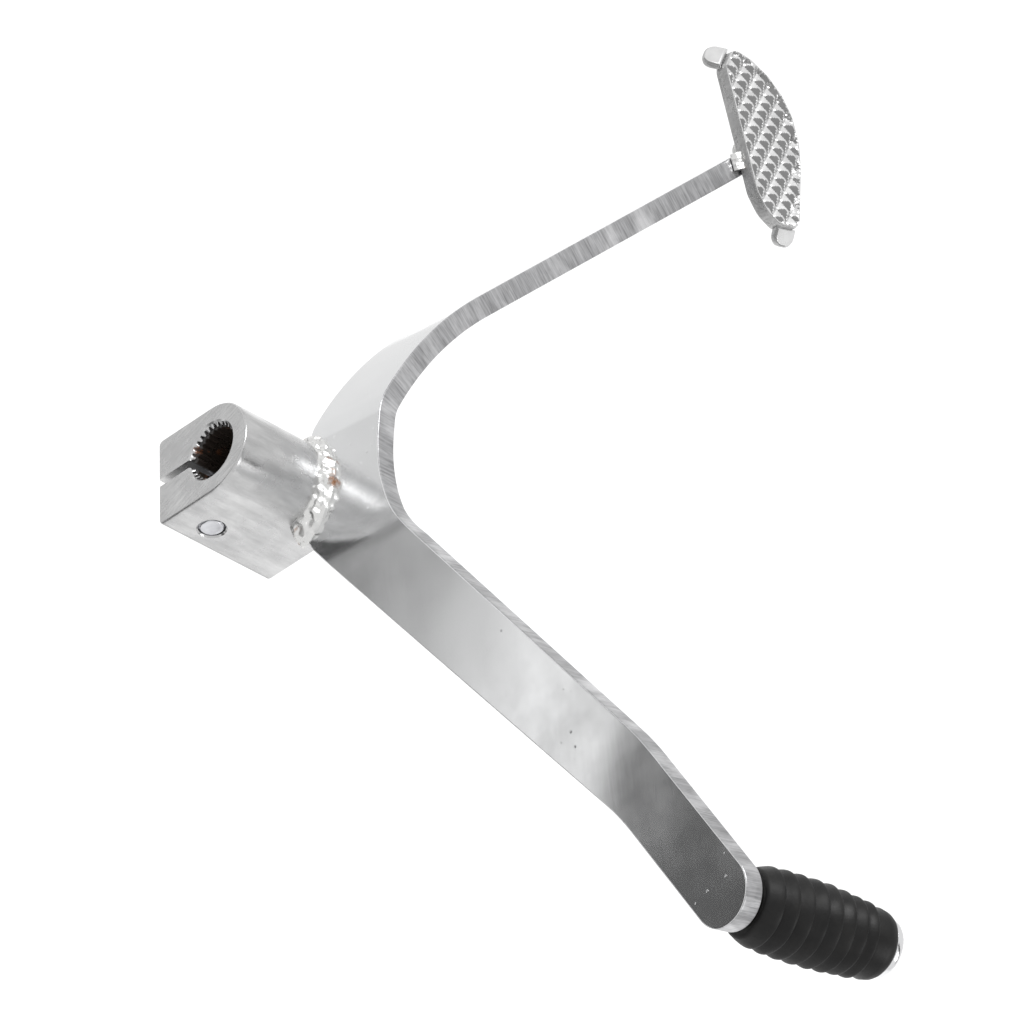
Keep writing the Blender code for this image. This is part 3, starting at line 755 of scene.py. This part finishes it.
def saddle_path(face, legs, leg_on_boss):
    """Rows of a bead round the boss's top, with one leg on the strip's face and one on the boss."""
    path = []
    radius = BOSS_HALF_WIDTH - 0.15
    count = 110
    for i in range(count):
        t = i / (count - 1)
        angle = math.radians(8.0 + 138.0 * t)
        out = Vector((math.cos(angle), 0.0, math.sin(angle)))
        corner = out * radius + Vector((0.0, face, BOSS_ROUND_CENTRE))
        path.append((corner, out * between(legs, t), Vector((0.0, leg_on_boss, 0.0))))
    return path


def build_welds():
    front = saddle_path(STRIP_FACE + 0.1, FRONT_LEGS, -FRONT_LEG_ON_BOSS)
    rear = saddle_path(STRIP_FACE + STRIP_THICKNESS + 0.05, REAR_LEGS, REAR_LEG_ON_BOSS)
    for side, path, lump, ripple in (("front", front, 1.0, 0.4), ("rear", rear, 0.6, 0.35)):
        add_piece("weld_" + side, bead(path, lump, ripple), (WELD,), ("boss_weld_" + side,),
                  "lever", BOSS, 60.0)

    heading = math.radians(180.0 - sum(angle for _, _, angle in HEEL_FOLDS))
    side = Vector((-math.sin(heading), math.cos(heading), 0.0))
    for name, depth, away in (("left", -0.05, side), ("right", STRIP_THICKNESS + 0.05, -side)):
        path = []
        for i in range(28):
            x, y = bent(-PAD_WELD_START - PAD_WELD_RUN * i / 27, depth)
            path.append(((x, y, PAD_ORIGIN[2] - 0.05), away * PAD_LEG, (0.0, 0.0, -PAD_LEG)))
        add_piece("pad_weld_" + name, bead(path, 0.5, 0.3), (WELD,),
                  ("heel_pad_weld_" + name,), "lever", None, 60.0)

    turn = Matrix.Rotation(math.radians(PAD_TURN), 3, "Z")
    path = []
    for i in range(24):
        t = i / 23
        corner = Vector(PAD_ORIGIN) + turn @ Vector((4.3 + 4.0 * t, -1.55 - 0.2 * t, -0.1))
        path.append((corner, turn @ Vector((0.0, -2.0, 0.0)), (0.0, 0.0, 1.9)))
    add_piece("pad_weld_inner", bead(path, 0.5, 0.3), (WELD,), ("heel_pad_weld_inner",),
              "lever", None, 60.0)


# --- toe peg and sleeve -----------------------------------------------------------------------


def peg_place():
    """The pin's frame: local Z along the pin from the strip's outer face."""
    start, radius, angle = TOE_FOLDS[0]
    turn = math.radians(angle)
    corner = start + radius * math.tan(0.5 * turn)
    run, height = PEG_ROOT
    x = corner + run * math.cos(turn) - STRIP_THICKNESS * math.sin(turn)
    y = STRIP_FACE + run * math.sin(turn) + STRIP_THICKNESS * math.cos(turn)
    turned_to = Vector((0.0, 0.0, 1.0)).rotation_difference(Vector(PEG_DIRECTION))
    return Matrix.Translation((x, y, height)) @ turned_to.to_matrix().to_4x4()


def sleeve_profile():
    """The sleeve's half section: each rib rises slowly and ends in a step down into its groove."""
    outside = [(SLEEVE_START, 6.7), (SLEEVE_START + 0.1, 7.1), (SLEEVE_START + 0.5, 7.6)]
    before, lowest = SLEEVE_START + 0.9, 7.75
    for height, radius in SLEEVE_RIBS:
        run = height - before
        outside += [
            (before, lowest), (before + 0.35 * run, lowest + 0.45 * (radius - lowest)),
            (height - 0.9, radius - 0.2), (height - 0.3, radius - 0.03), (height, radius),
            (height + 0.12, radius - 0.1), (height + 0.22, radius - 0.5 * SLEEVE_GROOVE),
            (height + 0.3, radius - SLEEVE_GROOVE),
        ]
        before, lowest = height + 0.75, radius - SLEEVE_GROOVE - 0.03
    outside += [(before, lowest), (SLEEVE_END - 2.6, 7.75), (SLEEVE_END - 0.9, 7.45),
                (SLEEVE_END - 0.25, 7.05), (SLEEVE_END, 6.6)]
    return [(SLEEVE_START, SLEEVE_BORE)] + outside + [(SLEEVE_END, SLEEVE_BORE)]


def build_peg():
    place = peg_place()
    root = GAP + PEG_RADIUS * math.tan(math.radians(PEG_LEAN))
    profile = ((root, 0.0), (root, PEG_RADIUS), (PEG_HEAD[0][0], PEG_RADIUS)) + PEG_HEAD
    add_piece("toe_peg_turned", turned(profile, 72), (PEG_CHROME,), ("toe_peg",),
              "lever", place, 35.0)
    add_piece("toe_peg_sleeve", turned(sleeve_profile(), 128, SLEEVE_WOBBLE), (RUBBER,),
              ("toe_peg_rubber",), "lever", place, 50.0)
    clear = PEG_RADIUS + 0.05
    ring = ((0.9, clear), (0.7, clear + 1.5), (1.2, clear + 1.45), (1.6, clear + 1.0),
            (1.95, clear + 0.4), (2.0, clear))
    add_piece("toe_peg_bead", turned(ring, 64, 0.35), (WELD,), ("toe_peg_weld",), "lever",
              place, 60.0)


# --- heel pad ---------------------------------------------------------------------------------


def from_edge(x, y):
    """Distance of a point inside the pad's convex outline."""
    least = 100.0
    for i, here in enumerate(PAD_OUTLINE):
        after = PAD_OUTLINE[(i + 1) % len(PAD_OUTLINE)]
        run = (after[0] - here[0], after[1] - here[1])
        cross = run[0] * (y - here[1]) - run[1] * (x - here[0])
        least = min(least, cross / math.hypot(*run))
    return least


def tread_height(x, y):
    """Height above the pad's plate: studs between V grooves, inside a plain rim."""
    height = TREAD_HEIGHT
    for direction, pitch in TREAD_GROOVES:
        a = math.radians(direction)
        side = -x * math.sin(a) + (y - TREAD_CENTRE) * math.cos(a)
        off = abs(side - pitch * round(side / pitch)) / (0.5 * pitch)
        height = min(height, (TREAD_HEIGHT + 0.35) * max(0.0, off - 0.04))
    worn = 0.10 * noise.noise(Vector((x, y, 0.0)) * 0.45)
    height = max(0.0, height * (1.0 + worn))
    rim = min(1.0, max(0.0, (PAD_RIM - from_edge(x, y)) / 0.35 + 0.5))
    return height + (TREAD_HEIGHT - 0.1 - height) * rim if rim else height


def tread_slab():
    """The pad's pressed top as a height field, on a lattice whose lines follow the grooves."""
    (first, p1), (second, p2) = TREAD_GROOVES
    a, b = math.radians(first), math.radians(second)
    steps = 10
    reach1, reach2 = steps * math.ceil(30.0 / p1), steps * math.ceil(32.0 / p2)
    det = math.sin(a - b)
    low_x, high_x, low_y, high_y = -23.0, 26.5, -4.5, 20.5
    shape = bmesh.new()
    grid = {}
    for i in range(-reach1, reach1 + 1):
        for j in range(-reach2, reach2 + 1):
            s, t = i * p1 / steps, j * p2 / steps  # distances across the two groove directions
            x = (-s * math.cos(b) + t * math.cos(a)) / det
            y = (s * -math.sin(b) + t * math.sin(a)) / det + TREAD_CENTRE
            if low_x < x < high_x and low_y < y < high_y:
                grid[i, j] = shape.verts.new((x, y, PAD_THICKNESS + tread_height(x, y)))
    for i, j in grid:
        corners = ((i, j), (i + 1, j), (i + 1, j + 1), (i, j + 1))
        if all(c in grid for c in corners):
            shape.faces.new([grid[c] for c in corners])
    loose = [v for v in shape.verts if not v.link_faces]
    bmesh.ops.delete(shape, geom=loose, context="VERTS")
    rim = [e for e in shape.edges if e.is_boundary]
    made = bmesh.ops.extrude_edge_only(shape, edges=rim)
    lowered = [g for g in made["geom"] if isinstance(g, bmesh.types.BMVert)]
    for vert in lowered:
        vert.co.z = -2.0
    bottom = [e for e in shape.edges if e.is_boundary]
    bmesh.ops.holes_fill(shape, edges=bottom, sides=0)
    return shape


def pad_prism():
    """The pad's outline with soft corners, rounded at its foot and drawn in at its top."""
    ends = {corner for tab in PAD_TABS for corner in tab[:2]}
    rounded = []
    for i, corner in enumerate(PAD_OUTLINE):
        before, after = PAD_OUTLINE[i - 1], PAD_OUTLINE[(i + 1) % len(PAD_OUTLINE)]
        rounded += fillet(before, corner, after, 3.0 if i in ends else 6.0, 4)
    top = PAD_THICKNESS + TREAD_HEIGHT + 1.0
    levels = ((0.45, 0.0), (0.22, 0.06), (0.06, 0.22), (0.0, 0.45), (0.0, top - 1.6),
              (0.12, top - 1.2), (0.7, top))
    return loft([[(x, y, z) for x, y in inset(rounded, by)] for by, z in levels])


def tab_body(width, reach):
    """A flat tongue along local X, rounded at its far corners and its edges."""
    half = 0.5 * width
    corner = min(2.6, 0.45 * width)
    outline = [(-1.2, -half)]
    outline += fillet((-1.2, -half), (reach, -half), (reach, half), corner, 12)
    outline += fillet((reach, -half), (reach, half), (-1.2, half), corner, 12)
    outline.append((-1.2, half))
    levels = rounded_levels(0.15, PAD_THICKNESS - 0.15, 0.75, 5)
    return loft([[(x, y, z) for x, y in inset(outline, by)] for by, z in levels])


def pad_finish(face):
    """The tread, the walls, and a darker copy of the finish as painted shade on the studs' sides
    turned one way.
    """
    n = face.normal
    if n.z < 0.35:
        return 1
    return 2 if n.dot(SHADED_SIDE) > 0.5 else 0


def build_pad():
    place = Matrix.Translation(PAD_ORIGIN) @ Matrix.Rotation(math.radians(PAD_TURN), 4, "Z")
    pad = boolean(tread_slab(), pad_prism(), "INTERSECT")
    for start, end, reach, down in PAD_TABS:
        first, last = Vector(PAD_OUTLINE[start]), Vector(PAD_OUTLINE[end])
        middle, edge = 0.5 * (first + last), last - first
        heading = math.atan2(-edge.x, edge.y)
        tab_place = Matrix.Translation((middle.x, middle.y, 0.0)) @ Matrix.Rotation(heading, 4, "Z")
        tab_place = tab_place @ Matrix.Rotation(math.radians(down), 4, "Y")
        pad = boolean(pad, tab_body(edge.length - 0.3, reach), "UNION", tab_place)
    add_piece("heel_pad_pressed", pad, (PAD_TREAD, PAD_WALL, PAD_PAINTED_SHADE), ("heel_pad",),
              "lever", place, 24.0, pad_finish)


build_boss()
build_bolt()
build_strip()
build_welds()
build_peg()
build_pad()


# --- floor, camera and light ------------------------------------------------------------------

# The camera's axes, and in them the part's origin in millimetres
RIGHT = Vector((-0.05989, 0.72381, 0.68739))
UP = Vector((-0.86053, -0.38641, 0.33191))
TOWARD = Vector((0.50586, -0.57165, 0.64601))
SHIFTED = Vector((-65.502, 13.56, -1956.522))
FOCAL_IN_WIDTHS = 8.7890625
FLOOR_DROP = 0.22
PART_MIDDLE = (0.0, 0.05, 0.0)

# The card that the arm's faces reflect: greys against the distance along ACROSS_CARD
ACROSS_CARD = (0.725, -0.689, 0.0)
CARD_GREYS = (
    (-0.05, 0.74), (-0.015, 0.62), (0.004, 0.55), (0.016, 1.0), (0.036, 1.0), (0.05, 0.42),
    (0.06, 0.70), (0.09, 0.26), (0.12, 0.22), (0.14, 0.40), (0.16, 0.66), (0.18, 0.95),
    (0.198, 1.0), (0.214, 0.14), (0.27, 0.07),
)


def look_from():
    """A long-lens camera that looks at the boss's engine-side face from above."""
    spin = Matrix((RIGHT, UP, TOWARD)).transposed()
    where = -(spin @ SHIFTED) * MM
    camera = bpy.data.objects.new("camera", bpy.data.cameras.new("camera"))
    camera.data.sensor_width = 36.0
    camera.data.lens = camera.data.sensor_width * FOCAL_IN_WIDTHS
    camera.data.clip_start, camera.data.clip_end = 0.01, 20.0
    camera.matrix_world = Matrix.Translation(where) @ spin.to_4x4()
    bpy.context.scene.collection.objects.link(camera)
    bpy.context.scene.camera = camera


def plane(name, size, at, facing):
    """A flat rectangle of the stage, with its centre at a point and its face turned."""
    shape = bmesh.new()
    half_x, half_y = 0.5 * size[0], 0.5 * size[1]
    corners = ((-half_x, -half_y), (half_x, -half_y), (half_x, half_y), (-half_x, half_y))
    shape.faces.new([shape.verts.new((x, y, 0.0)) for x, y in corners])
    mesh = bpy.data.meshes.new(name)
    shape.to_mesh(mesh)
    shape.free()
    obj = bpy.data.objects.new(name, mesh)
    turn = Vector(facing).to_track_quat("Z", "Y").to_matrix().to_4x4()
    obj.matrix_world = Matrix.Translation(at) @ turn
    bpy.context.scene.collection.objects.link(obj)
    return obj


def build_floor():
    floor = plane("floor", (12.0, 12.0), (0.0, 0.0, -FLOOR_DROP), (0.0, 0.0, 1.0))
    f = Finish("floor_paint", (0.93, 0.93, 0.93), 0.7, 0.0)
    tone = f.ramp(f.noise(f.place, 3.0, 2.0), (0.3, (0.92, 0.92, 0.92)), (0.7, (0.94, 0.94, 0.94)))
    floor.data.materials.append(f.wire(Base_Color=tone))


def card(name, size, at, facing, brightness, gradient=None):
    """A card that only reflections see. Its gradient is a direction and (distance, grey) stops."""
    obj = plane(name, size, at, facing)
    made = bpy.data.materials.new(name)
    made.use_nodes = True
    tree = made.node_tree
    tree.nodes.remove(tree.nodes["Principled BSDF"])
    glow = tree.nodes.new("ShaderNodeEmission")
    glow.inputs["Color"].default_value = (1.0, 1.0, 1.0, 1.0)
    glow.inputs["Strength"].default_value = brightness
    tree.links.new(glow.outputs[0], tree.nodes["Material Output"].inputs["Surface"])
    if gradient:
        direction, stops = gradient
        low, high = stops[0][0], stops[-1][0]
        where = tree.nodes.new("ShaderNodeNewGeometry")
        dot = tree.nodes.new("ShaderNodeVectorMath")
        dot.operation = "DOT_PRODUCT"
        dot.inputs[1].default_value = direction
        tree.links.new(where.outputs["Position"], dot.inputs[0])
        span = tree.nodes.new("ShaderNodeMapRange")
        span.inputs["From Min"].default_value = low
        span.inputs["From Max"].default_value = high
        tree.links.new(dot.outputs["Value"], span.inputs["Value"])
        ramp = tree.nodes.new("ShaderNodeValToRGB")
        elements = ramp.color_ramp.elements
        while len(elements) < len(stops):
            elements.new(0.5)
        for element, (place, grey) in zip(elements, stops):
            element.position = (place - low) / (high - low)
            element.color = (grey, grey, grey, 1.0)
        tree.links.new(span.outputs["Result"], ramp.inputs["Fac"])
        tree.links.new(ramp.outputs["Color"], glow.inputs["Color"])
    obj.data.materials.append(made)
    obj.visible_camera = False
    obj.visible_diffuse = False
    obj.visible_shadow = False
    return obj


def soft_light(name, at, target, size, power):
    data = bpy.data.lights.new(name, "AREA")
    data.shape = "DISK"
    data.size = size
    data.energy = power
    light = bpy.data.objects.new(name, data)
    facing = Vector(at) - Vector(target)
    turn = facing.to_track_quat("Z", "Y").to_matrix().to_4x4()
    light.matrix_world = Matrix.Translation(at) @ turn
    bpy.context.scene.collection.objects.link(light)


def build_light():
    world = bpy.data.worlds.new("studio")
    world.use_nodes = True
    world.node_tree.nodes["Background"].inputs["Color"].default_value = (1.0, 1.0, 1.0, 1.0)
    world.node_tree.nodes["Background"].inputs["Strength"].default_value = 0.85
    bpy.context.scene.world = world
    soft_light("key", (-0.9, -0.5, 1.6), PART_MIDDLE, 0.9, 16.0)
    soft_light("fill", (0.9, 0.9, 1.1), PART_MIDDLE, 0.8, 6.0)
    card("front_reflection", (0.90, 0.86), (-0.05, -0.25, -0.2), (0.0, 0.0, 1.0), 1.2,
         (ACROSS_CARD, CARD_GREYS))
    card("upper_dark", (0.20, 1.3), (0.36, 0.57, 0.72), (-0.36, -0.57, -0.72), 0.04)


look_from()
build_floor()
build_light()
bpy.context.scene.view_settings.view_transform = "Standard"
